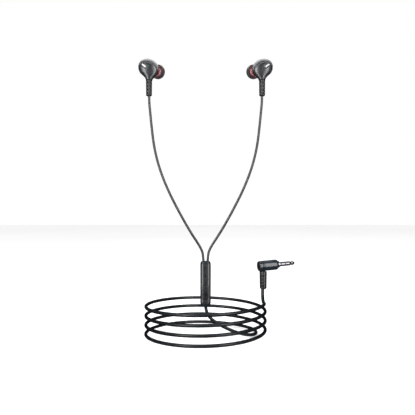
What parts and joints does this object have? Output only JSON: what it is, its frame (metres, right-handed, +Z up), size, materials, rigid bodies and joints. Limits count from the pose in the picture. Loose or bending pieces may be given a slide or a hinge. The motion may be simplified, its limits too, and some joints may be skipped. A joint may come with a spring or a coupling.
{
  "type": "wired earphones",
  "caption": "Wired in-ear earphones with two angled earbuds, an in-line one-button microphone remote and a coiled cord that ends in a right-angle jack plug.",
  "frame": {"origin": "midway between the two earbuds, where a wearer's head holds the part", "axes": "+Z up, from the hanging cord to the earbuds; -Y the side that the remote's button faces; +X from the left earbud to the right one"},
  "size_m": [0.1299, 0.0998, 0.2312],
  "materials": {
    "housing": "gloss graphite",
    "polished_trim": "polished",
    "inner_plastic": "moulded",
    "steel": "satin",
    "magnet": "nickel plated",
    "copper": "wound and drawn copper",
    "film": "thin film",
    "mesh": "woven",
    "core_silicone": "soft satin",
    "tip_silicone": "soft translucent",
    "soft_rubber": "satin",
    "remote_shell": "satin",
    "board": "solder mask",
    "dark_cap": "gloss",
    "plug_plastic": "gloss black",
    "jack_metal": "polished nickel",
    "insulator": "moulded",
    "cord_jacket": "satin jacket"
  },
  "bodies": {
    "root": {"left_outer_shell": "housing", "left_inner_shell": "housing", "left_trim_plate": "polished_trim", "left_driver_frame": "inner_plastic", "left_driver_yoke": "steel", "left_driver_magnet": "magnet", "left_driver_plate": "steel", "left_driver_cover": "steel", "left_nozzle": "steel", "left_nozzle_mesh": "mesh", "left_strain_relief": "soft_rubber", "left_cord_clamp": "copper", "right_outer_shell": "housing", "right_inner_shell": "housing", "right_trim_plate": "polished_trim", "right_driver_frame": "inner_plastic", "right_driver_yoke": "steel", "right_driver_magnet": "magnet", "right_driver_plate": "steel", "right_driver_cover": "steel", "right_nozzle": "steel", "right_nozzle_mesh": "mesh", "right_strain_relief": "soft_rubber", "right_cord_clamp": "copper", "remote_front_shell": "remote_shell", "remote_back_shell": "remote_shell", "circuit_board": "board", "switch_body": "inner_plastic", "microphone": "steel", "mic_gasket": "soft_rubber", "top_grommet": "dark_cap", "bottom_grommet": "dark_cap", "plug_body": "plug_plastic", "plug_end_cap": "plug_plastic", "plug_core": "inner_plastic", "plug_collar": "jack_metal", "sleeve_contact": "jack_metal", "ring2_contact": "jack_metal", "ring1_contact": "jack_metal", "tip_contact": "jack_metal", "contact_insulators": "insulator", "plug_strain_relief": "soft_rubber", "left_cord": "cord_jacket", "right_cord": "cord_jacket", "main_cord_tail": "cord_jacket", "main_cord_coil": "cord_jacket", "main_cord_lead": "cord_jacket"},
    "left_ear_tip": {"left_tip_core": "core_silicone", "left_tip_dome": "tip_silicone"},
    "right_ear_tip": {"right_tip_core": "core_silicone", "right_tip_dome": "tip_silicone"},
    "left_driver_cone": {"left_voice_coil": "copper", "left_diaphragm": "film"},
    "right_driver_cone": {"right_voice_coil": "copper", "right_diaphragm": "film"},
    "talk_button": {"remote_button": "remote_shell", "switch_plunger": "inner_plastic"}
  },
  "joints": [
    {"name": "left_tip_pull_off", "type": "slide", "parent": "root", "child": "left_ear_tip", "axis": [0.5446, 0.8387, 0], "range_m": [0, 0.009]},
    {"name": "right_tip_pull_off", "type": "slide", "parent": "root", "child": "right_ear_tip", "axis": [-0.5446, 0.8387, 0], "range_m": [0, 0.009]},
    {"name": "left_cone_travel", "type": "slide", "parent": "root", "child": "left_driver_cone", "axis": [0.5446, 0.8387, 0], "range_m": [-0.00012, 0.00012], "stiffness_N_per_m": 600},
    {"name": "right_cone_travel", "type": "slide", "parent": "root", "child": "right_driver_cone", "axis": [-0.5446, 0.8387, 0], "range_m": [-0.00012, 0.00012], "stiffness_N_per_m": 600},
    {"name": "button_press", "type": "slide", "parent": "root", "child": "talk_button", "axis": [0, 1, 0], "range_m": [0, 0.00025], "stiffness_N_per_m": 6400}
  ]
}
